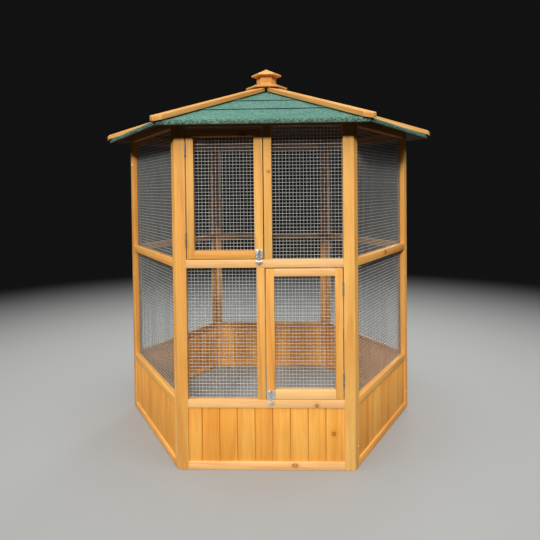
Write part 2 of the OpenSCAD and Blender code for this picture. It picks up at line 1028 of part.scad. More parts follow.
// The cap is a low six-sided pyramid on a straight edge, cut by one sloped plane a side
module finial_cap() {
    cap_n = finial_cap_r * cos(half_turn);
    point_z = finial_cap_edge_h + finial_cap_rise;
    color(wood)
        difference() {
            hex_block(finial_cap_r, finial_cap_z, point_z);
            for (side = [0 : wall_count - 1]) {
                rotate([0, 0, side * wall_turn])
                    translate([0, 0, finial_cap_z])
                        mirror([0, 1, 0])
                            along_x(3 * finial_cap_r)
                                polygon([
                                    [-cap_n, point_z + finial_cap_rise],
                                    [2 * cap_n, finial_cap_edge_h - finial_cap_rise],
                                    [2 * cap_n, 2 * point_z]]);
            }
            dowel_space();
        }
}

module finial_dowel() {
    color(pale_wood)
        translate([0, 0, finial_z])
            cylinder(d = dowel_d, h = dowel_top_z - finial_z);
}

front_left_stile();
front_right_stile();
front_top_rail();
front_mid_rail();
front_skirt_rail();
front_bottom_rail();
front_upper_mullion();
front_lower_mullion();
boards(FRONT);  // front_boards
front_upper_mesh();
front_lower_mesh();
door_hinge_stile(false);  // upper_door_hinge_stile
door_latch_stile(false);  // upper_door_latch_stile
door_top_rail(false);  // upper_door_top_rail
door_bottom_rail(false);  // upper_door_bottom_rail
door_mesh(false);  // upper_door_mesh
door_hinge_leaves(false);  // upper_door_hinge_leaves
bolt_case(false);  // upper_bolt_case
door_screws(false);  // upper_door_screws
bolt(false);  // upper_bolt
door_hinge_stile(true);  // lower_door_hinge_stile
door_latch_stile(true);  // lower_door_latch_stile
door_top_rail(true);  // lower_door_top_rail
door_bottom_rail(true);  // lower_door_bottom_rail
door_mesh(true);  // lower_door_mesh
door_hinge_leaves(true);  // lower_door_hinge_leaves
bolt_case(true);  // lower_bolt_case
door_screws(true);  // lower_door_screws
bolt(true);  // lower_bolt
frame_hinge_leaves();
hinge_pins();
bolt_keepers();
hardware_screws();
corner_screws();
plain_frame(RIGHT_FRONT);  // right_front_frame
boards(RIGHT_FRONT);  // right_front_boards
plain_mesh(RIGHT_FRONT);  // right_front_mesh
plain_frame(RIGHT_REAR);  // right_rear_frame
boards(RIGHT_REAR);  // right_rear_boards
plain_mesh(RIGHT_REAR);  // right_rear_mesh
plain_frame(REAR);  // rear_frame
boards(REAR);  // rear_boards
plain_mesh(REAR);  // rear_mesh
plain_frame(LEFT_REAR);  // left_rear_frame
boards(LEFT_REAR);  // left_rear_boards
plain_mesh(LEFT_REAR);  // left_rear_mesh
plain_frame(LEFT_FRONT);  // left_front_frame
boards(LEFT_FRONT);  // left_front_boards
plain_mesh(LEFT_FRONT);  // left_front_mesh
roof_decks();
roof_felts();
hip_battens();
hip_screws();
finial_plate();
finial_block();
finial_cap();
finial_dowel();
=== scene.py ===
"""Looks of the six-sided garden aviary.

Eased and stained timber, fine weld mesh, lapped green felt and zinc fittings take the place of the plain solids,
piece by piece. They stand on a pale floor before a dark backdrop, seen by the photo's camera.
"""

import json
import math
import random

import bpy
import numpy as np
from mathutils import Matrix, Vector


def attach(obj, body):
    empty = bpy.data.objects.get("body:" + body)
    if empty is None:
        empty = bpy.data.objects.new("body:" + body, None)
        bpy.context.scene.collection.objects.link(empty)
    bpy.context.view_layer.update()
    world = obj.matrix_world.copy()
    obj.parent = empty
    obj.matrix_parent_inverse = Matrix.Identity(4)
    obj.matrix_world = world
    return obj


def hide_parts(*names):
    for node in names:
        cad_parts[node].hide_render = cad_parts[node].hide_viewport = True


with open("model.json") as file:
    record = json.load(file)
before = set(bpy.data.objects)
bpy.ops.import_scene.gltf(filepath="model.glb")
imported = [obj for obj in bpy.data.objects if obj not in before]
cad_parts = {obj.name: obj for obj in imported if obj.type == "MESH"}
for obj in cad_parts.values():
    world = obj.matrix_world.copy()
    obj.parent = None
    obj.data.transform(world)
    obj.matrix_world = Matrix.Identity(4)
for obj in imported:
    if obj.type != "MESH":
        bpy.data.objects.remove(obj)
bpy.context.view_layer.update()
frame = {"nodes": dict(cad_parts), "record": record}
cad = frame["nodes"]
body_of = {node: body for body, members in frame["record"]["behaviour"]["bodies"].items() for node in members}
slot_of = {part["node"]: part["material_slot"] for part in frame["record"]["subparts"]}

# Sizes shared with the construction, in metres. n is a distance from the middle, square to a wall.
APOTHEM = 0.5629165
WALL_H = 1.288
WALL_TURNS = {"right_front": 60, "right_rear": 120, "rear": 180, "left_rear": 240, "left_front": 300}
PANELS = 6
PANEL_TURN = 60
HALF_TURN = math.radians(30)
ROOF_BED = 0.0002
ROOF_PITCH = math.radians(19)
SLOPE = math.tan(ROOF_PITCH)
HIP_FALL = math.atan(SLOPE * math.cos(HALF_TURN))
EAVE_N = APOTHEM + 0.0865
DECK_T = 0.010
DECK_BOARD_W = 0.090
FELT_T = 0.0025
DECK_END_N = EAVE_N - FELT_T
FELT_COURSES = 3
FELT_COURSE_W = 0.185
FELT_LAP_W = 0.060
FELT_LAP_T = 0.002
FELT_HIP_GAP = 0.006
FELT_DRIP = 0.0025
WIRE_PITCH = 0.0127

# Cleaning of meshes: points this near are one, and faces this nearly in line are one
CAD_GAP = 0.00002
HAIR_GAP = 0.000002
IN_LINE = math.radians(0.6)


# Handling

def take(*objects):
    """Leaves only these objects selected, the first one active."""
    bpy.ops.object.select_all(action="DESELECT")
    for obj in objects:
        obj.select_set(True)
    if objects:
        bpy.context.view_layer.objects.active = objects[0]


def own_copy(model):
    """A copy of a modelled piece, with a mesh of its own."""
    made = model.copy()
    made.data = model.data.copy()
    bpy.context.scene.collection.objects.link(made)
    return made


def join(pieces):
    """Makes one object of several, and leaves it selected."""
    take(*pieces)
    bpy.ops.object.join()
    take(pieces[0])
    return pieces[0]


def smooth(degrees):
    """Shades the selected object smooth, apart from edges sharper than this."""
    bpy.ops.object.shade_smooth_by_angle(angle=math.radians(degrees))


def wall_turn(node):
    """The angle by which a node's wall is turned from the front wall's place."""
    for wall in sorted(WALL_TURNS, key=len, reverse=True):
        if node.startswith(wall + "_"):
            return math.radians(WALL_TURNS[wall])
    return 0.0


def finish_piece(obj, name, node, *finishes):
    """Names a finished piece, gives it its finishes and lets it ride in place of its node."""
    obj.name = name
    obj.data.name = name
    while len(obj.data.materials) < len(finishes):
        obj.data.materials.append(None)
    for number, finish in enumerate(finishes):
        obj.data.materials[number] = finish
    while len(obj.data.materials) > len(finishes):
        obj.data.materials.pop()
    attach(obj, body_of[node])
    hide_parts(node)


def points(mesh):
    """The mesh's points, one row each."""
    co = np.zeros(len(mesh.vertices) * 3)
    mesh.vertices.foreach_get("co", co)
    return co.reshape(-1, 3)


def loose_parts(mesh):
    """One number per point: the loose part that it belongs to."""
    edges = np.zeros(len(mesh.edges) * 2, int)
    mesh.edges.foreach_get("vertices", edges)
    edges = edges.reshape(-1, 2)
    label = np.arange(len(mesh.vertices))
    while True:
        low = np.minimum(label[edges[:, 0]], label[edges[:, 1]])
        new = label.copy()
        np.minimum.at(new, edges[:, 0], low)
        np.minimum.at(new, edges[:, 1], low)
        new = new[new]
        if (new == label).all():
            return np.unique(label, return_inverse=True)[1]
        label = new


def put_attribute(mesh, name, kind, domain, field, values):
    """Writes one value per point, edge or face into an attribute of the mesh."""
    if name in mesh.attributes:
        mesh.attributes.remove(mesh.attributes[name])
    layer = mesh.attributes.new(name, kind, domain)
    layer.data.foreach_set(field, np.asarray(values, np.float32).ravel())


def merge_points(obj):
    """Merges the points that lie together, so that no flat faces are left."""
    take(obj)
    bpy.ops.object.mode_set(mode="EDIT")
    bpy.ops.mesh.select_mode(type="VERT")
    bpy.ops.mesh.select_all(action="SELECT")
    bpy.ops.mesh.remove_doubles(threshold=HAIR_GAP)
    bpy.ops.object.mode_set(mode="OBJECT")


def copy_of_node(node):
    """A closed, clean copy of a node's mesh, ready to be worked on."""
    obj = bpy.data.objects.new(node + "_copy", cad[node].data.copy())
    bpy.context.scene.collection.objects.link(obj)
    take(obj)
    bpy.ops.mesh.customdata_custom_splitnormals_clear()
    bpy.ops.object.mode_set(mode="EDIT")
    bpy.ops.mesh.select_all(action="SELECT")
    bpy.ops.mesh.remove_doubles(threshold=CAD_GAP)
    bpy.ops.mesh.dissolve_limited(angle_limit=IN_LINE)
    bpy.ops.object.mode_set(mode="OBJECT")
    return obj


def pick_faces(obj, test):
    """Selects, in edit mode, only the faces whose centre and normal pass the test."""
    bpy.ops.mesh.select_mode(type="FACE")
    bpy.ops.mesh.select_all(action="DESELECT")
    bpy.ops.object.mode_set(mode="OBJECT")
    for face in obj.data.polygons:
        face.select = test(face.center, face.normal)
    bpy.ops.object.mode_set(mode="EDIT")


def draw_out(x, y, z):
    """Extrudes the selected faces, in edit mode."""
    bpy.ops.mesh.extrude_region_move(TRANSFORM_OT_translate={"value": (x, y, z)})


def draw_in(share):
    """Shrinks the selected faces about z, in edit mode."""
    bpy.ops.transform.resize(value=(share, share, 1))


# Finishes

class Nodes:
    """A node tree under construction, with short ways to add and join its nodes."""

    def __init__(self, tree):
        self.tree = tree
        tree.nodes.clear()

    def node(self, kind, **settings):
        made = self.tree.nodes.new(kind)
        for key, value in settings.items():
            setattr(made, key, value)
        return made

    def feed(self, value, socket):
        """Links a socket to another one, or sets it to a value."""
        if isinstance(value, bpy.types.NodeSocket):
            self.tree.links.new(value, socket)
        else:
            socket.default_value = value

    def filled(self, kind, *values, **settings):
        """A node whose first inputs take these values."""
        made = self.node(kind, **settings)
        for socket, value in zip(made.inputs, values):
            self.feed(value, socket)
        return made

    def math(self, operation, a, b=0.0):
        return self.filled("ShaderNodeMath", a, b, operation=operation).outputs[0]

    def vector(self, operation, a, b=(0, 0, 0)):
        made = self.filled("ShaderNodeVectorMath", a, b, operation=operation)
        return made.outputs["Value" if operation == "LENGTH" else "Vector"]

    def scaled(self, vector, x, y, z):
        return self.vector("MULTIPLY", vector, (x, y, z))

    def sway(self, cloud, x, y, z):
        """A cloud of colours as a shift either way, by up to half of x, y and z."""
        return self.scaled(self.vector("SUBTRACT", cloud, (0.5, 0.5, 0.5)), x, y, z)

    def noise(self, vector, scale=1.0, detail=2.0):
        made = self.node("ShaderNodeTexNoise")
        self.feed(vector, made.inputs["Vector"])
        made.inputs["Scale"].default_value = scale
        made.inputs["Detail"].default_value = detail
        return made

    def cells(self, vector, scale, **settings):
        """Cells of random size: two chances for each cell, and the distance from its middle."""
        made = self.node("ShaderNodeTexVoronoi", feature="F1", **settings)
        self.feed(vector, made.inputs["Vector"])
        made.inputs["Scale"].default_value = scale
        chances = self.filled("ShaderNodeSeparateColor", made.outputs["Color"]).outputs
        return chances[0], chances[1], made.outputs["Distance"]

    def span(self, value, low, high, to_low=0.0, to_high=1.0):
        """A smooth step from one value to another, between two limits."""
        return self.filled("ShaderNodeMapRange", value, low, high, to_low, to_high,
                           interpolation_type="SMOOTHSTEP").outputs[0]

    def above(self, value, limit, share=1.0):
        return self.math("MULTIPLY", self.math("GREATER_THAN", value, limit), share)

    def below(self, value, limit, share=1.0):
        return self.math("MULTIPLY", self.math("LESS_THAN", value, limit), share)

    def mix(self, share, a, b, blend="MIX"):
        made = self.node("ShaderNodeMix", data_type="RGBA", blend_type=blend)
        self.feed(share, made.inputs[0])
        self.feed(a, made.inputs[6])
        self.feed(b, made.inputs[7])
        return made.outputs[2]

    def mix_shaders(self, share, a, b):
        return self.filled("ShaderNodeMixShader", share, a, b).outputs[0]

    def read(self, attribute):
        return self.node("ShaderNodeAttribute", attribute_name=attribute)

    def object_place(self):
        return self.node("ShaderNodeTexCoord").outputs["Object"]

    def shown(self):
        """1 for rays that show a surface, to the eye or in metal, and 0 for rays that carry its light."""
        rays = self.node("ShaderNodeLightPath").outputs
        mirrored = self.math("MAXIMUM", rays["Is Glossy Ray"], rays["Is Transmission Ray"])
        return self.math("MAXIMUM", rays["Is Camera Ray"], mirrored)


class Finish(Nodes):
    """A material under construction, whose nodes feed one shader."""

    def __init__(self, name):
        self.material = bpy.data.materials.new(name)
        self.material.use_nodes = True
        super().__init__(self.material.node_tree)
        self.shader = self.node("ShaderNodeBsdfPrincipled")
        self.surface = self.node("ShaderNodeOutputMaterial").inputs["Surface"]
        self.feed(self.shader.outputs[0], self.surface)

    def set(self, **values):
        for key, value in values.items():
            self.feed(value, self.shader.inputs[key.replace("_", " ")])

    def bump(self, height, strength, distance):
        made = self.node("ShaderNodeBump")
        made.inputs["Strength"].default_value = strength
        made.inputs["Distance"].default_value = distance
        self.feed(height, made.inputs["Height"])
        self.feed(made.outputs[0], self.shader.inputs["Normal"])


def colour(red, green, blue):
    """A colour as it looks, 0 to 255, as the linear value that a shader takes."""
    def linear(c):
        c /= 255
        return c / 12.92 if c <= 0.04045 else ((c + 0.055) / 1.055) ** 2.4
    return (linear(red), linear(green), linear(blue), 1.0)


def toned(shade, share):
    """A colour made darker or lighter."""
    return tuple(min(1.0, share * c) for c in shade[:3]) + (1.0,)


# The timber's pattern: repeats a metre along, across and through a piece
WANDER = (1.6, 9, 9)
STREAKS = (1.1, 42, 42)
FIBRES = (9, 520, 520)
CLOUDS = (5, 11, 11)
KNOT_CELLS = (5.0, 7.6, 7.6)
KNOT_WOBBLE = (60, 60, 60)
# Its rings: width and bend in metres, taper along a piece, and where in a ring the dark late wood rises and ends
RING_W = 0.0075
RING_BEND = 0.013
RING_TAPER = 0.012
LATE_RISE = (0.35, 0.90)
LATE_END = (1.00, 0.92)
# Its knots: share of cells without one, range of sizes, and radii of halo, rim and core as parts of a cell
KNOTLESS = 0.94
KNOT_SIZES = (0.6, 1.25)
KNOT_R = 0.055
KNOT_HALO = (0.16, 0.04)
KNOT_RIM_OUT = (0.058, 0.047)
KNOT_RIM_IN = (0.024, 0.042)
KNOT_CORE = (0.046, 0.036)
# How far a deck board's grain is shifted from its neighbour's
BOARD_SHIFT = (9.0, 0.3, 0.2)
# What fibres and tints multiply the stain by, from dark to pale
FIBRE_TONES = ((0.90, 0.87, 0.82, 1), (1.05, 1.06, 1.08, 1))
TINT_TONES = ((0.97, 0.85, 0.74, 1), (1.05, 1.06, 1.08, 1))


def own_boards(f, grain, tint, board_w):
    """Gives each board of a wide sheet its own stretch of grain and its own tint."""
    across = f.filled("ShaderNodeSeparateXYZ", grain).outputs[1]
    board = f.math("FLOOR", f.math("DIVIDE", across, board_w))
    key = f.filled("ShaderNodeCombineXYZ", board, tint).outputs[0]
    chance = f.node("ShaderNodeTexWhiteNoise", noise_dimensions="2D")
    f.feed(key, chance.inputs["Vector"])
    return f.vector("ADD", grain, f.sway(chance.outputs["Color"], *BOARD_SHIFT)), chance.outputs["Value"]


def add_knots(f, grain, body, dark):
    """Adds scattered knots, and the piece's own one from its knot attribute, to a timber's colour."""
    wobble = f.noise(f.scaled(grain, *KNOT_WOBBLE), detail=1.0).outputs["Color"]
    place = f.vector("ADD", f.scaled(grain, *KNOT_CELLS), f.sway(wobble, 0.03, 0.03, 0.03))
    chance, size, distance = f.cells(place, 1.0, voronoi_dimensions="2D")
    scattered = f.math("DIVIDE", distance, f.span(size, 0, 1, *KNOT_SIZES))
    scattered = f.math("ADD", scattered, f.below(chance, KNOTLESS))
    own = f.vector("ADD", f.read("knot").outputs["Vector"], f.sway(wobble, 0.5, 0.5, 0.5))
    reach = f.math("MINIMUM", scattered, f.math("MULTIPLY", f.vector("LENGTH", own), KNOT_R))
    halo = f.span(reach, *KNOT_HALO)
    rim = f.math("MULTIPLY", f.span(reach, *KNOT_RIM_OUT), f.span(reach, *KNOT_RIM_IN))
    core = f.span(reach, *KNOT_CORE)
    body = f.mix(f.math("MULTIPLY", halo, 0.30), body, dark)
    body = f.mix(f.math("MULTIPLY", core, 0.55), body, toned(dark, 0.75))
    return f.mix(f.math("MULTIPLY", rim, 0.85), body, toned(dark, 0.42))


def stained_timber(name, stain, ring_share=0.26, shine=0.15, matt=0.0, board_w=None):
    """Stained softwood whose grain runs along each piece, from the piece's own grain attribute."""
    pale, mid, dark = stain
    f = Finish(name)
    grain = f.read("grain").outputs["Vector"]
    tint = f.read("tint").outputs["Fac"]
    edge = f.read("edge").outputs["Fac"]
    if board_w:
        grain, tint = own_boards(f, grain, tint, board_w)
    wander = f.noise(f.scaled(grain, *WANDER)).outputs["Color"]
    bent = f.vector("ADD", grain, f.sway(wander, 0.0, RING_BEND, RING_BEND))
    radius = f.vector("LENGTH", f.scaled(bent, RING_TAPER, 1.0, 1.0))
    ring = f.math("FRACT", f.math("DIVIDE", radius, RING_W))
    late = f.math("MULTIPLY", f.span(ring, *LATE_RISE), f.span(ring, *LATE_END))
    streak = f.noise(f.scaled(grain, *STREAKS), detail=3.0).outputs[0]
    fibre = f.noise(f.scaled(grain, *FIBRES)).outputs[0]
    cloud = f.noise(f.scaled(grain, *CLOUDS)).outputs[0]
    body = f.mix(f.span(streak, 0.30, 0.70), pale, mid)
    body = f.mix(f.math("MULTIPLY", late, ring_share), body, dark)
    body = f.mix(f.span(cloud, 0.45, 0.80, 0.0, 0.30), body, dark)
    body = f.mix(1.0, body, f.mix(f.span(fibre, 0.25, 0.75), *FIBRE_TONES), "MULTIPLY")
    body = add_knots(f, grain, body, dark)
    body = f.mix(1.0, body, f.mix(tint, *TINT_TONES), "MULTIPLY")
    worn = f.math("MAXIMUM", edge, 0.0)
    joint = f.math("MAXIMUM", f.math("MULTIPLY", edge, -1.0), 0.0)
    body = f.mix(f.math("MULTIPLY", worn, 0.38), body, toned(pale, 1.22))
    # Painted shade: narrow faces in joints and gaps between boards are darkened
    body = f.mix(f.math("MULTIPLY", joint, 0.72), body, dark)
    rough = f.span(fibre, 0.2, 0.8, 0.58 + matt, 0.46 + matt)
    f.set(Base_Color=body, Roughness=rough, Specular_IOR_Level=shine)
    f.bump(f.math("ADD", f.math("MULTIPLY", fibre, 0.6), f.math("MULTIPLY", late, 0.4)), 0.35, 0.0005)
    return f.material


# The felt's pattern: repeats a metre
GRANULES = 620.0
FLAKES = 210.0
FLECKS = 360.0
MOTTLE = 160.0
PATCHES = 9.0


def mineral_felt():
    """Green mineral roofing felt: slate granules and flakes, worn coarser where it folds over the eave and darker
    there, partly as painted shade, with black bitumen and painted shade at the drip.
    """
    f = Finish("green_mineral_felt")
    place = f.object_place()
    fold = f.read("fold").outputs["Fac"]
    granule, _, from_middle = f.cells(place, GRANULES)
    flake, _, _ = f.cells(place, FLAKES)
    _, fleck, _ = f.cells(place, FLECKS)
    patch = f.noise(place, PATCHES, 3.0).outputs[0]
    mottle = f.noise(place, MOTTLE).outputs[0]
    body = f.mix(f.span(patch, 0.3, 0.7), colour(69, 122, 107), colour(83, 136, 121))
    body = f.mix(f.span(mottle, 0.35, 0.75, 0.0, 0.35), body, colour(58, 110, 97))
    body = f.mix(f.above(flake, 0.82, 0.46), body, colour(148, 186, 174))
    body = f.mix(f.below(flake, 0.20, 0.46), body, colour(40, 75, 66))
    body = f.mix(f.above(granule, 0.80, 0.55), body, colour(148, 186, 172))
    body = f.mix(f.below(granule, 0.22, 0.60), body, colour(36, 70, 60))
    # Over the eave's fold: worn, coarse, flecked felt, darker than the slope as wear and as painted shade
    worn = f.mix(f.above(fleck, 0.60), colour(40, 58, 45), colour(130, 158, 136))
    body = f.mix(f.math("MULTIPLY", f.math("MINIMUM", fold, 1.0), 0.80), body, worn)
    # Black bitumen and painted shade on the drip rows, where fold passes 1
    body = f.mix(f.span(fold, 1.0, 2.0, 0.0, 0.8), body, colour(26, 32, 24))
    f.set(Base_Color=body, Roughness=0.93, Specular_IOR_Level=0.22)
    height = f.math("SUBTRACT", 1.0, from_middle)
    f.bump(f.math("ADD", height, f.math("MULTIPLY", mottle, 1.5)), 0.55, 0.0011)
    return f.material


def felt_cut_edge():
    """The black bitumen that shows where a course of felt was cut."""
    f = Finish("felt_bitumen_edge")
    crumb = f.noise(f.object_place(), 420.0, 3.0).outputs[0]
    f.set(Base_Color=f.mix(f.span(crumb, 0.35, 0.7), colour(18, 20, 19), colour(52, 66, 60)),
          Roughness=f.span(crumb, 0.3, 0.7, 0.62, 0.88))
    f.bump(crumb, 0.5, 0.0006)
    return f.material


def galvanised_wire():
    """Galvanised wire, with painted shade that darkens the side facing into the cage."""
    f = Finish("galvanised_wire")
    place = f.object_place()
    dull = f.noise(place, 55.0, 3.0).outputs[0]
    inner = f.read("inner").outputs["Fac"]
    body = f.mix(f.span(dull, 0.3, 0.7), colour(198, 200, 196), colour(218, 220, 216))
    # Painted shade: the side of each wire that faces into the cage is darkened towards dark grey
    body = f.mix(f.span(inner, 0.30, 0.56), body, colour(66, 67, 65))
    f.set(Base_Color=body, Metallic=0.25, Roughness=f.span(dull, 0.3, 0.7, 0.50, 0.42))
    f.bump(f.noise(place, 900.0).outputs[0], 0.2, 0.0002)
    return f.material


def zinc_plate(name, low, high, rough):
    """Zinc plate over pressed steel: fine spangle, smeared gloss and the slight waviness of stamped sheet."""
    f = Finish(name)
    place = f.object_place()
    spangle, _, _ = f.cells(place, 240.0)
    smear = f.noise(place, 90.0, 3.0).outputs[0]
    body = f.mix(f.span(spangle, 0, 1), low, high)
    body = f.mix(f.span(smear, 0.5, 0.8, 0.0, 0.5), body, toned(low, 0.42))
    f.set(Base_Color=body, Metallic=1.0, Roughness=f.span(smear, 0.3, 0.75, *rough))
    f.bump(f.noise(place, 120.0, 1.0).outputs[0], 0.45, 0.0022)
    return f.material


# Stains, each as pale, middle and dark wood
HONEY = (colour(248, 194, 110), colour(241, 177, 91), colour(207, 129, 52))
SKIRT = (colour(247, 184, 92), colour(238, 168, 74), colour(206, 126, 44))
PEACH = (colour(250, 206, 146), colour(246, 190, 121), colour(216, 145, 76))
AMBER = (colour(232, 180, 110), colour(221, 161, 89), colour(190, 116, 52))
# The roof's underside: a stain darkened as painted shade under the roof
UNDERSIDE_IN_SHADE = (colour(88, 58, 30), colour(74, 46, 22), colour(50, 30, 13))

honey = stained_timber("honey_stained_fir", HONEY)
honey_boards = stained_timber("honey_stained_boards", SKIRT, ring_share=0.20)
peach = stained_timber("pale_stained_fir", PEACH, ring_share=0.22)
amber = stained_timber("amber_stained_fir", AMBER, ring_share=0.32, shine=0.08, matt=0.28)
under_deck_in_shade = stained_timber("roof_underside_fir_painted_shade", UNDERSIDE_IN_SHADE, board_w=DECK_BOARD_W)
felt = mineral_felt()
felt_edge = felt_cut_edge()
wire = galvanised_wire()
zinc = zinc_plate("bright_zinc_plate", colour(226, 228, 231), colour(246, 247, 249), (0.30, 0.44))
dull_zinc = zinc_plate("dull_zinc_plate", colour(150, 149, 150), colour(172, 171, 172), (0.46, 0.58))


# Timber

# Widths of the eased edges, the length from which an edge is eased, and the width up to which a face is an edge's
FRAME_EASE = 0.0013
BOARD_EASE = 0.0004
BATTEN_EASE = 0.0018
FINIAL_EASE = 0.0015
EASED_FROM = 0.006
EASED_FACE = 0.0032
DECK_GAP_FACE = 0.004
SHARP = math.radians(20)

# How the stain takes on those faces: paler where it wears, and darker in joints and gaps between boards, as
# painted shade
WORN = 1.0
BOARD_JOINT_SHADE = -0.5
DECK_GAP_SHADE = -1.0

# Where a piece was cut from its log: random shifts along and across it, and depth from the heart, in metres
CUT_ALONG = 20
CUT_ACROSS = 0.05
CUT_DEPTH = (0.03, 0.09)

# Tone of the timbers that the photo shows well (0 deep orange, 1 pale), from left to right within a piece
TONES = {
    "front_left_stile": [0.12], "front_right_stile": [0.92], "front_upper_mullion": [0.90],
    "front_lower_mullion": [0.45], "upper_door_hinge_stile": [0.40], "upper_door_latch_stile": [0.70],
    "lower_door_hinge_stile": [0.45], "lower_door_latch_stile": [0.00], "front_mid_rail": [0.90],
    "front_skirt_rail": [0.55], "front_bottom_rail": [0.40], "lower_door_bottom_rail": [0.95],
    "front_boards": [0.85, 0.35, 0.45, 0.65, 0.40, 0.80, 0.85, 0.65, 0.45], "finial_cap": [0.90],
    "hip_battens": [0.70, 0.62, 0.50, 0.55, 0.75, 0.66],
    "left_front_frame": [0.00, 0.30, 0.25, 0.30, 0.35, 0.75],
    "right_front_frame": [0.75, 0.30, 0.25, 0.35, 0.30, 0.15],
}
PALE_RAILS = ("front_mid_rail", "front_skirt_rail", "front_bottom_rail",
              "lower_door_top_rail", "lower_door_bottom_rail")

# Knots on the front wall: where (x, z) and how large (radius), in metres. Other pieces have theirs far off.
KNOTS = {"front_skirt_rail": (0.1860, 0.2380, 0.0075), "front_boards": (0.2475, 0.1340, 0.0085),
         "front_upper_mullion": (0.0185, 1.0950, 0.0050)}
FAR_KNOT = (9.0, 9.0, 0.01)


def lay_grain(mesh, node, place, centred=True):
    """Writes each loose part's grain frame (along, across, depth), its tint and its own knot.

    place turns points to the part's frame. A centred part is cut from its log at random.
    """
    rng = random.Random(node)
    co = points(mesh)
    part = loose_parts(mesh)
    grain = np.zeros_like(co)
    tint = np.zeros(len(co))
    for number in range(part.max() + 1):
        own = part == number
        local = place(co[own])
        if centred:
            local = local[:, np.argsort(local.min(0) - local.max(0))]
            local = local - (local.max(0) + local.min(0)) / 2
            local = local + np.array([rng.uniform(-CUT_ALONG, CUT_ALONG), rng.uniform(-CUT_ACROSS, CUT_ACROSS),
                                      rng.choice((-1, 1)) * rng.uniform(*CUT_DEPTH)])
        grain[own] = local
        tint[own] = rng.random()
    if node in TONES:
        middles = [co[part == number, 0].mean() for number in range(part.max() + 1)]
        for tone, number in zip(TONES[node], np.argsort(middles)):
            tint[part == number] = tone
    knot_x, knot_z, knot_r = KNOTS.get(node, FAR_KNOT)
    knot = (co - np.array([knot_x, 0.0, knot_z])) * np.array([1, 0, 1]) / knot_r
    put_attribute(mesh, "grain", "FLOAT_VECTOR", "POINT", "vector", grain)
    put_attribute(mesh, "tint", "FLOAT", "POINT", "value", tint)
    put_attribute(mesh, "knot", "FLOAT_VECTOR", "POINT", "vector", knot)


def mark_edges(mesh, value, narrow=EASED_FACE):
    """Marks the narrow faces, which the stain leaves paler, or which painted shade darkens in a joint."""
    marks = []
    for face in mesh.polygons:
        corners = [mesh.vertices[v].co for v in face.vertices]
        longest = max((a - b).length for a, b in zip(corners, corners[1:] + corners[:1]))
        marks.append(value if face.area / longest < narrow else 0.0)
    put_attribute(mesh, "edge", "FLOAT", "FACE", "value", marks)


def ease_edges(obj, width):
    """Rounds the long sharp edges of a timber by a bevel of this width."""
    mesh = obj.data
    take(obj)
    bpy.ops.object.mode_set(mode="EDIT")
    bpy.ops.mesh.select_all(action="DESELECT")
    bpy.ops.mesh.select_mode(type="EDGE")
    bpy.ops.mesh.edges_select_sharp(sharpness=SHARP)
    bpy.ops.object.mode_set(mode="OBJECT")
    weights = []
    for edge in mesh.edges:
        start, end = (mesh.vertices[v].co for v in edge.vertices)
        weights.append(1.0 if edge.select and (start - end).length > EASED_FROM else 0.0)
    put_attribute(mesh, "bevel_weight_edge", "FLOAT", "EDGE", "value", weights)
    ease = obj.modifiers.new("ease", "BEVEL")
    ease.limit_method = "WEIGHT"
    ease.width = width
    ease.segments = 2
    ease.use_clamp_overlap = False
    bpy.ops.object.modifier_apply(modifier=ease.name)
    merge_points(obj)
    smooth(35)


def turned(angle):
    """Points brought from a turned wall to the front wall's place."""
    c, s = math.cos(-angle), math.sin(-angle)
    spin = np.array([[c, -s, 0], [s, c, 0], [0, 0, 1]])
    return lambda co: co @ spin.T


def hip_place(co):
    """A hip batten's points, laid level along x."""
    middle = co.mean(0)
    level = turned(math.atan2(middle[1], middle[0]))(co)
    c, s = math.cos(HIP_FALL), math.sin(HIP_FALL)
    return level @ np.array([[c, 0, -s], [0, 1, 0], [s, 0, c]]).T


def panel_place(co):
    """A roof panel's points as (along the eave, up from the eave's edge, depth)."""
    middle = co.mean(0)
    number = round(math.degrees(math.atan2(middle[0], -middle[1])) / PANEL_TURN)
    level = turned(math.radians(PANEL_TURN * number))(co)
    up = DECK_END_N + level[:, 1]
    return np.column_stack([level[:, 0], up, level[:, 2] - SLOPE * up])


def timber(node, finish, ease=FRAME_EASE, place=None, edge=WORN):
    """A node's timbers with eased edges and their grain laid along them."""
    obj = copy_of_node(node)
    ease_edges(obj, ease)
    lay_grain(obj.data, node, place or turned(wall_turn(node)))
    mark_edges(obj.data, edge)
    finish_piece(obj, node + "_timber", node, finish)


for node in sorted(cad):
    if node.endswith("_boards"):
        timber(node, honey_boards, ease=BOARD_EASE, edge=BOARD_JOINT_SHADE)
    elif node in PALE_RAILS:
        timber(node, peach)
    elif node.endswith(("_stile", "_rail", "_mullion", "_frame")):
        timber(node, honey)
timber("hip_battens", amber, ease=BATTEN_EASE, place=hip_place)
for node in ("finial_plate", "finial_block", "finial_cap"):
    timber(node, amber, ease=FINIAL_EASE)
# The roof decks, in the underside stain that is darkened as painted shade
deck = copy_of_node("roof_decks")
lay_grain(deck.data, "roof_decks", panel_place, centred=False)
mark_edges(deck.data, DECK_GAP_SHADE, narrow=DECK_GAP_FACE)
finish_piece(deck, "roof_deck_boards", "roof_decks", under_deck_in_shade)


# Weld mesh

CROSS_WIRE_D = 0.0017
UPRIGHT_WIRE_D = 0.0013
WIRE_SIDES = 6
UPRIGHT_REST = 0.9 * CROSS_WIRE_D
STAPLE_W = 0.008
STAPLE_D = 0.0012
STAPLE_LEG = 0.007
STAPLE_EVERY = 6
FACING = 0.9
QUARTER_TURN = math.pi / 2


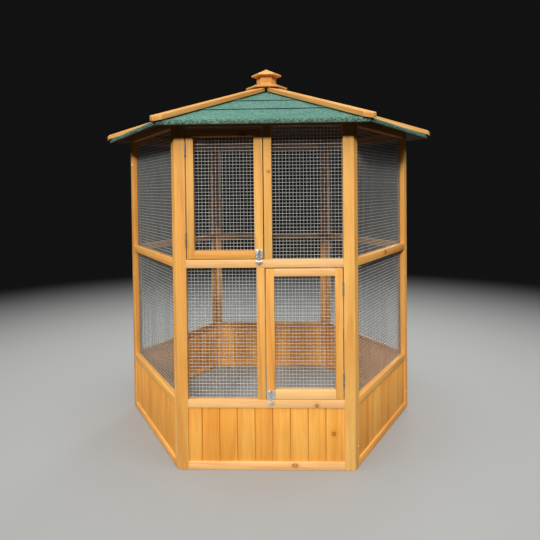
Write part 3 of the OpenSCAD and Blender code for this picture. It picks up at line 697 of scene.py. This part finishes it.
def wire_row(thick, length, centre, turn_y, step, count):
    """A row of equal wires: one wire, repeated along step."""
    take()
    bpy.ops.mesh.primitive_cylinder_add(vertices=WIRE_SIDES, radius=thick / 2, depth=length, location=(0, 0, 0))
    row = bpy.context.object
    row.data.transform(Matrix.Translation(centre) @ Matrix.Rotation(turn_y, 4, "Y"))
    repeat = row.modifiers.new("repeat", "ARRAY")
    repeat.use_relative_offset = False
    repeat.use_constant_offset = True
    repeat.constant_offset_displace = step
    repeat.count = count
    bpy.ops.object.modifier_apply(modifier=repeat.name)
    return row


def staple():
    """A staple over a wire: crown along x with its underside at y = 0, legs towards -y."""
    inner = STAPLE_W - 2 * STAPLE_D
    take()
    bpy.ops.mesh.primitive_cube_add(size=1, location=(0, 0, 0))
    made = bpy.context.object
    crown = Matrix.Diagonal((inner, STAPLE_D, STAPLE_D, 1))
    made.data.transform(Matrix.Translation((0, STAPLE_D / 2, 0)) @ crown)
    bpy.ops.object.mode_set(mode="EDIT")
    for side in (1, -1):
        pick_faces(made, lambda centre, normal: normal.x * side > FACING)
        draw_out(side * STAPLE_D, 0, 0)
        pick_faces(made, lambda centre, normal: normal.y < -FACING and centre.x * side > inner / 2)
        draw_out(0, -STAPLE_LEG, 0)
    bpy.ops.object.mode_set(mode="OBJECT")
    return made


def staple_places(low, high, across, up):
    """Places of the staples round one panel of mesh, each over a wire on the lap."""
    step_x = (high[0] - low[0] - UPRIGHT_WIRE_D) / across
    step_z = (high[2] - low[2] - CROSS_WIRE_D) / up
    over_cross = low[1] + CROSS_WIRE_D
    over_upright = low[1] + UPRIGHT_REST + UPRIGHT_WIRE_D
    upright = Matrix.Rotation(QUARTER_TURN, 4, "Y")
    places = []
    for number in range(STAPLE_EVERY // 2, up, STAPLE_EVERY):
        z = low[2] + CROSS_WIRE_D / 2 + number * step_z
        for x in (low[0] + step_x / 2, high[0] - step_x / 2):
            places.append(Matrix.Translation((x, over_cross, z)) @ upright)
    for number in range(STAPLE_EVERY // 2, across, STAPLE_EVERY):
        x = low[0] + UPRIGHT_WIRE_D / 2 + number * step_x
        for z in (low[2] + step_z / 2, high[2] - step_z / 2):
            places.append(Matrix.Translation((x, over_upright, z)))
    return places


def weld_mesh(node, model):
    """Fine weld mesh over the extent of a node's panels, and its staples.

    The cross wires lie against the frame, and the uprights are welded behind them.
    """
    turn = wall_turn(node)
    bare = copy_of_node(node)
    local = turned(turn)(points(bare.data))
    part = loose_parts(bare.data)
    rows, places = [], []
    for number in range(part.max() + 1):
        low, high = local[part == number].min(0), local[part == number].max(0)
        width, height = high[0] - low[0], high[2] - low[2]
        across = round((width - UPRIGHT_WIRE_D) / WIRE_PITCH)
        up = round((height - CROSS_WIRE_D) / WIRE_PITCH)
        mid_x, mid_z = (low[0] + high[0]) / 2, (low[2] + high[2]) / 2
        front = low[1] + CROSS_WIRE_D / 2
        behind = low[1] + UPRIGHT_REST + UPRIGHT_WIRE_D / 2
        rows.append(wire_row(CROSS_WIRE_D, width, (mid_x, front, low[2] + CROSS_WIRE_D / 2), QUARTER_TURN,
                             (0, 0, (height - CROSS_WIRE_D) / up), up + 1))
        rows.append(wire_row(UPRIGHT_WIRE_D, height, (low[0] + UPRIGHT_WIRE_D / 2, behind, mid_z), 0.0,
                             ((width - UPRIGHT_WIRE_D) / across, 0, 0), across + 1))
        places += staple_places(low, high, across, up)
    bpy.data.objects.remove(bare)
    panel = join(rows)
    # How far each point faces into the cage: the side that the wire's finish darkens as painted shade
    normals = np.zeros(len(panel.data.vertices) * 3)
    panel.data.vertices.foreach_get("normal", normals)
    inwards = normals.reshape(-1, 3)[:, 1]
    put_attribute(panel.data, "inner", "FLOAT", "POINT", "value", 0.5 + 0.5 * inwards)
    panel.data.transform(Matrix.Rotation(turn, 4, "Z"))
    smooth(70)
    finish_piece(panel, node + "_wires", node, wire)
    pins = []
    for place in places:
        pin = own_copy(model)
        pin.data.transform(Matrix.Rotation(turn, 4, "Z") @ place)
        pins.append(pin)
    finish_piece(join(pins), node + "_staples", node, zinc)


staple_model = staple()
for node in sorted(cad):
    if node.endswith("_mesh"):
        weld_mesh(node, staple_model)
bpy.data.objects.remove(staple_model)


# Roofing felt

FELT_COLUMNS = 44
FELT_ROWS = 12
EAVE_SHEET_T = 0.0021
LAP_SHEET_T = 0.0032
# How far a course reaches under the next one, in lap widths, and how far its lower edge lifts, in lap thicknesses
LAP_REACH = 0.75
LAP_LIFT = 1.7
# The nose that the lowest course makes over the eave, and the rows of the drip edge below it (inset, rise, fold;
# a fold over 1 darkens the drip as bitumen and painted shade)
NOSE_R = 0.012
NOSE_ROWS = 6
DRIP_ROWS = ((0.0004, 0.0012, 1.8), (0.0016, 0.0, 2.0))
# Ripples: how many a sheet has, the ranges that each is drawn from, and how far a size of 1 moves, in metres
WAVES = 5
WAVE_RATES = (6, 34)
WAVE_SIZES = (0.2, 0.5)
WAVE_PHASES = (0, 6.3)
RIPPLED_W = 0.03
RIPPLE_OUT = 0.0011
RIPPLE_UP = 0.0005
EDGE_UP = 0.0004
EAVE_RIPPLE = 0.00035


def felt_top(n):
    """Height of the felt's upper face at n."""
    return WALL_H + ROOF_BED + SLOPE * (APOTHEM - n) + (DECK_T + FELT_T) / math.cos(ROOF_PITCH)


def felt_profile(course):
    """A course's upper face as rows of (n, z, fold) from its upper end down to its lower edge."""
    foot = EAVE_N - course * FELT_COURSE_W
    head = EAVE_N - (course + 1) * FELT_COURSE_W - LAP_REACH * FELT_LAP_W
    if course == FELT_COURSES - 1:
        head = FELT_HIP_GAP
    rows = []
    if course:
        for share in np.linspace(0, 1, FELT_ROWS):
            n = head + (foot - head) * share
            lift = max(0.0, (n - foot + FELT_LAP_W) / FELT_LAP_W) * LAP_LIFT * FELT_LAP_T
            rows.append((n, felt_top(n) + lift, 0.0))
        return rows
    bend_n = foot - NOSE_R * (1 + math.sin(ROOF_PITCH)) / math.cos(ROOF_PITCH)
    for share in np.linspace(0, 1, FELT_ROWS):
        n = head + (bend_n - head) * share
        rows.append((n, felt_top(n), 0.25 if share == 1 else 0.0))
    centre_n, centre_z = foot - NOSE_R, felt_top(bend_n) - NOSE_R * math.cos(ROOF_PITCH)
    for share in np.linspace(0.17, 1, NOSE_ROWS):
        angle = math.pi / 2 - ROOF_PITCH - share * (math.pi / 2 - ROOF_PITCH)
        rows.append((centre_n + NOSE_R * math.cos(angle), centre_z + NOSE_R * math.sin(angle),
                     0.35 + 0.65 * share))
    bottom = WALL_H + ROOF_BED + SLOPE * (APOTHEM - DECK_END_N) - FELT_DRIP
    rows.append((foot, (rows[-1][1] + bottom) / 2, 1.0))
    for inset, rise, fold in DRIP_ROWS:
        rows.append((foot - inset, bottom + rise, fold))
    return rows


def felt_course(panel, course):
    """One course of felt over a roof panel, with rippled lower edge and cut sides."""
    profile = felt_profile(course)
    rng = random.Random(100 * panel + course)
    waves = [[rng.uniform(*drawn) for drawn in (WAVE_RATES, WAVE_PHASES, WAVE_SIZES)] for _ in range(WAVES)]
    take()
    bpy.ops.mesh.primitive_grid_add(x_subdivisions=FELT_COLUMNS, y_subdivisions=len(profile) - 1, size=2)
    sheet = bpy.context.object
    co = points(sheet.data)
    row = np.rint((1 - co[:, 1]) / 2 * (len(profile) - 1)).astype(int)
    n, z, fold = np.array(profile)[row].T.copy()
    x = co[:, 0] * ((n - FELT_HIP_GAP) * math.tan(HALF_TURN))
    ripple = sum(size * np.sin(rate * x + phase) for rate, phase, size in waves)
    if course:
        foot = profile[-1][0]
        near = np.clip((n - foot + RIPPLED_W) / RIPPLED_W, 0, 1)
        n += RIPPLE_OUT * ripple * near
        z += (RIPPLE_UP * ripple + EDGE_UP) * near - SLOPE * RIPPLE_OUT * ripple * near
    else:
        z += EAVE_RIPPLE * ripple
    sheet.data.vertices.foreach_set("co", np.column_stack([x, -n, z]).ravel())
    put_attribute(sheet.data, "fold", "FLOAT", "POINT", "value", fold)
    sheet.data.update()
    merge_points(sheet)
    sheet.data.materials.append(felt)
    sheet.data.materials.append(felt_edge)
    thick = sheet.modifiers.new("thickness", "SOLIDIFY")
    thick.thickness = LAP_SHEET_T if course else EAVE_SHEET_T
    thick.offset = -1.0
    thick.material_offset_rim = 1
    bpy.ops.object.modifier_apply(modifier=thick.name)
    sheet.data.transform(Matrix.Rotation(math.radians(PANEL_TURN * panel), 4, "Z"))
    return sheet


for panel in range(PANELS):
    cover = join([felt_course(panel, course) for course in range(FELT_COURSES)])
    smooth(50)
    finish_piece(cover, "felt_panel_%d" % (panel + 1), "roof_felts", felt, felt_edge)


# Zinc fittings

BROKEN_EDGE = 0.0003
BROKEN_FROM = math.radians(40)
SCREW_SIDES = 20
# A screw's head: its dome and the dome's two steps (rise, narrowing) in head heights, and the cross recess cutter
# (length and width in head radii, height in head heights)
HEAD_DOME = 0.30
DOME_STEPS = ((0.20, 0.86), (0.10, 0.70))
RECESS = (1.15, 0.30, 1.2)
# Its shank: the share that is straight, and the share of the width left at the tip
SHANK_STRAIGHT = 0.75
TIP_SHARE = 0.15
# A plain screw's points: the head's are this near the widest, an end's this near the end. Turns are in radians.
HEAD_SHARE = 0.8
END_GAP = 1e-6
SCREW_TURN = 3.1


def fitting(node, finish):
    """A stamped or turned fitting with its sharp edges broken."""
    obj = copy_of_node(node)
    broken = obj.modifiers.new("broken", "BEVEL")
    broken.limit_method = "ANGLE"
    broken.angle_limit = BROKEN_FROM
    broken.width = BROKEN_EDGE
    broken.segments = 2
    bpy.ops.object.modifier_apply(modifier=broken.name)
    smooth(38)
    finish_piece(obj, node + "_zinc", node, finish)


def cross_head_screw(head_r, head_h, shank_r, length):
    """A wood screw along -z, its head's crown at z = 0: domed head with a cross recess, tapered shank."""
    take()
    bpy.ops.mesh.primitive_cylinder_add(vertices=SCREW_SIDES, radius=head_r, depth=head_h, location=(0, 0, 0))
    screw = bpy.context.object
    screw.data.transform(Matrix.Translation((0, 0, -head_h / 2)))
    bpy.ops.object.mode_set(mode="EDIT")
    pick_faces(screw, lambda centre, normal: normal.z > FACING)
    bpy.ops.transform.translate(value=(0, 0, -HEAD_DOME * head_h))
    for step, share in DOME_STEPS:
        draw_out(0, 0, step * head_h)
        draw_in(share)
    pick_faces(screw, lambda centre, normal: normal.z < -FACING)
    draw_out(0, 0, 0)
    draw_in(shank_r / head_r)
    draw_out(0, 0, -SHANK_STRAIGHT * (length - head_h))
    draw_out(0, 0, -(1 - SHANK_STRAIGHT) * (length - head_h))
    draw_in(TIP_SHARE)
    bpy.ops.object.mode_set(mode="OBJECT")
    for turn in (0, QUARTER_TURN):
        take()
        bpy.ops.mesh.primitive_cube_add(size=1, location=(0, 0, 0))
        bit = bpy.context.object
        long, wide, deep = RECESS
        bit.data.transform(Matrix.Rotation(turn, 4, "Z")
                           @ Matrix.Diagonal((long * head_r, wide * head_r, deep * head_h, 1)))
        take(screw)
        cut = screw.modifiers.new("cross", "BOOLEAN")
        cut.operation = "DIFFERENCE"
        cut.object = bit
        bpy.ops.object.modifier_apply(modifier=cut.name)
        bpy.data.objects.remove(bit)
    return screw


def screws(node):
    """Cross head screws in the places of a node's plain ones, modelled once a size and copied."""
    bare = copy_of_node(node)
    co = points(bare.data)
    part = loose_parts(bare.data)
    rng = random.Random(node)
    models = {}
    made = []
    for number in range(part.max() + 1):
        own = co[part == number]
        middle = own.mean(0)
        axis = np.linalg.svd(own - middle, full_matrices=False)[2][0]
        along = (own - middle) @ axis
        out = np.linalg.norm((own - middle) - np.outer(along, axis), axis=1)
        head = out > HEAD_SHARE * out.max()
        if along[head].mean() < 0:
            axis, along = -axis, -along
        length = along.max() - along.min()
        crown = own[along > along.max() - END_GAP]
        top = (crown.max(0) + crown.min(0)) / 2
        tip = own[along < along.min() + END_GAP]
        shank_r = np.linalg.norm(tip - (top - axis * length), axis=1).max()
        head_h = along[head].max() - along[head].min()
        key = tuple(round(v, 5) for v in (out.max(), head_h, shank_r, length))
        if key not in models:
            models[key] = cross_head_screw(*key)
        screw = own_copy(models[key])
        aim = Vector(axis).to_track_quat("Z", "Y").to_matrix().to_4x4()
        spin = Matrix.Rotation(rng.uniform(0, SCREW_TURN), 4, "Z")
        screw.data.transform(Matrix.Translation(top) @ aim @ spin)
        made.append(screw)
    for used in [bare] + list(models.values()):
        bpy.data.objects.remove(used)
    piece = join(made)
    smooth(30)
    finish_piece(piece, node + "_zinc", node, zinc)


for node in sorted(cad):
    if node.endswith("_screws"):
        screws(node)
    elif slot_of[node] == "zinc":
        fitting(node, dull_zinc if node.endswith(("_leaves", "_pins")) else zinc)
for own in cad["finial_dowel"].material_slots:
    own.material = amber


# Stage, light and camera

BACKDROP = (0.006, 0.0062, 0.006, 1)
FLOOR_SIZE = 80
FLOOR_SINK = 0.0005
# The floor's colour as it is seen, and for the light that it sends back, which is little, as with grass
FLOOR_SEEN = (0.36, 0.36, 0.35, 1)
FLOOR_LIGHT = (0.005, 0.005, 0.005, 1)
# Where the floor passes into the backdrop, in metres from the middle
FLOOR_FADE = (0.8, 4.2)
SKY_TINT = (0.96, 0.98, 1.0, 1)
# The sky's strength is the product of bands over height (Z) and depth (Y): two limits, and the strength at each
SKY_BANDS = (("Z", 0.34, 0.60, 0.0, 2.40), ("Z", 0.60, 1.00, 1.0, 0.45), ("Y", -0.10, 0.80, 1.0, 0.50))

# The camera as it was fitted to the photo's corners, rails and roof edges: metres, radians, millimetres
CAMERA_PLACE = (0.0614, -2.4236, 1.0288)
YAW, PITCH, ROLL = -0.035, -0.021, -0.011
SENSOR_W = 36.0
LENS = 34.2
SHIFT_X, SHIFT_Y = 0.0135, -0.1285
CLIP_END = 100

take()
bpy.ops.mesh.primitive_plane_add(size=FLOOR_SIZE, location=(0, 0, -FLOOR_SINK))
floor = bpy.context.object
floor.name = "studio_floor"
paint = Finish("studio_floor_paint")
shown = paint.shown()
paint.set(Base_Color=paint.mix(shown, FLOOR_LIGHT, FLOOR_SEEN), Roughness=0.9, Specular_IOR_Level=0.1)
away = paint.vector("LENGTH", paint.scaled(paint.object_place(), 1.0, 1.0, 0.0))
glow = paint.filled("ShaderNodeEmission", BACKDROP)
faded = paint.math("MULTIPLY", paint.span(away, *FLOOR_FADE), shown)
paint.feed(paint.mix_shaders(faded, paint.shader.outputs[0], glow.outputs[0]), paint.surface)
floor.data.materials.append(paint.material)

world = bpy.data.worlds.new("studio")
bpy.context.scene.world = world
world.use_nodes = True
sky = Nodes(world.node_tree)
heading = sky.filled("ShaderNodeSeparateXYZ", sky.node("ShaderNodeTexCoord").outputs["Generated"]).outputs
low_band, high_band, back_band = [sky.span(heading[axis], *band) for axis, *band in SKY_BANDS]
strength = sky.math("MULTIPLY", sky.math("MULTIPLY", low_band, high_band), back_band)
light = sky.filled("ShaderNodeBackground", SKY_TINT, strength).outputs[0]
backdrop = sky.filled("ShaderNodeBackground", BACKDROP).outputs[0]
sky.feed(sky.mix_shaders(sky.shown(), light, backdrop), sky.node("ShaderNodeOutputWorld").inputs["Surface"])


def lamp(name, strength, softness, towards, tone):
    """A far lamp: its strength, the angle it fills in degrees, which way it shines, and its colour."""
    bpy.ops.object.light_add(type="SUN", location=(0, 0, 4))
    made = bpy.context.object
    made.name = name
    made.data.energy = strength
    made.data.angle = math.radians(softness)
    made.data.color = tone
    made.rotation_euler = Vector(towards).to_track_quat("-Z", "Y").to_euler()


lamp("key", 2.06, 8, (0.15, 1.0, -0.50), (1.0, 0.97, 0.92))
lamp("rear_fill", 1.0, 20, (-0.3, -1.0, -0.20), (0.96, 0.98, 1.0))

ahead = Vector((math.sin(YAW) * math.cos(PITCH), math.cos(YAW) * math.cos(PITCH), math.sin(PITCH)))
level = Vector((math.cos(YAW), -math.sin(YAW), 0))
rise = level.cross(ahead)
right = math.cos(ROLL) * level + math.sin(ROLL) * rise
above = -math.sin(ROLL) * level + math.cos(ROLL) * rise
bpy.ops.object.camera_add()
camera = bpy.context.object
camera.name = "photo_camera"
turn = Matrix((right, above, -ahead)).transposed().to_4x4()
camera.matrix_world = Matrix.Translation(CAMERA_PLACE) @ turn
camera.data.sensor_width = SENSOR_W
camera.data.sensor_fit = "HORIZONTAL"
camera.data.lens = LENS
camera.data.shift_x = SHIFT_X
camera.data.shift_y = SHIFT_Y
camera.data.clip_end = CLIP_END
bpy.context.scene.camera = camera
bpy.context.scene.view_settings.view_transform = "Standard"
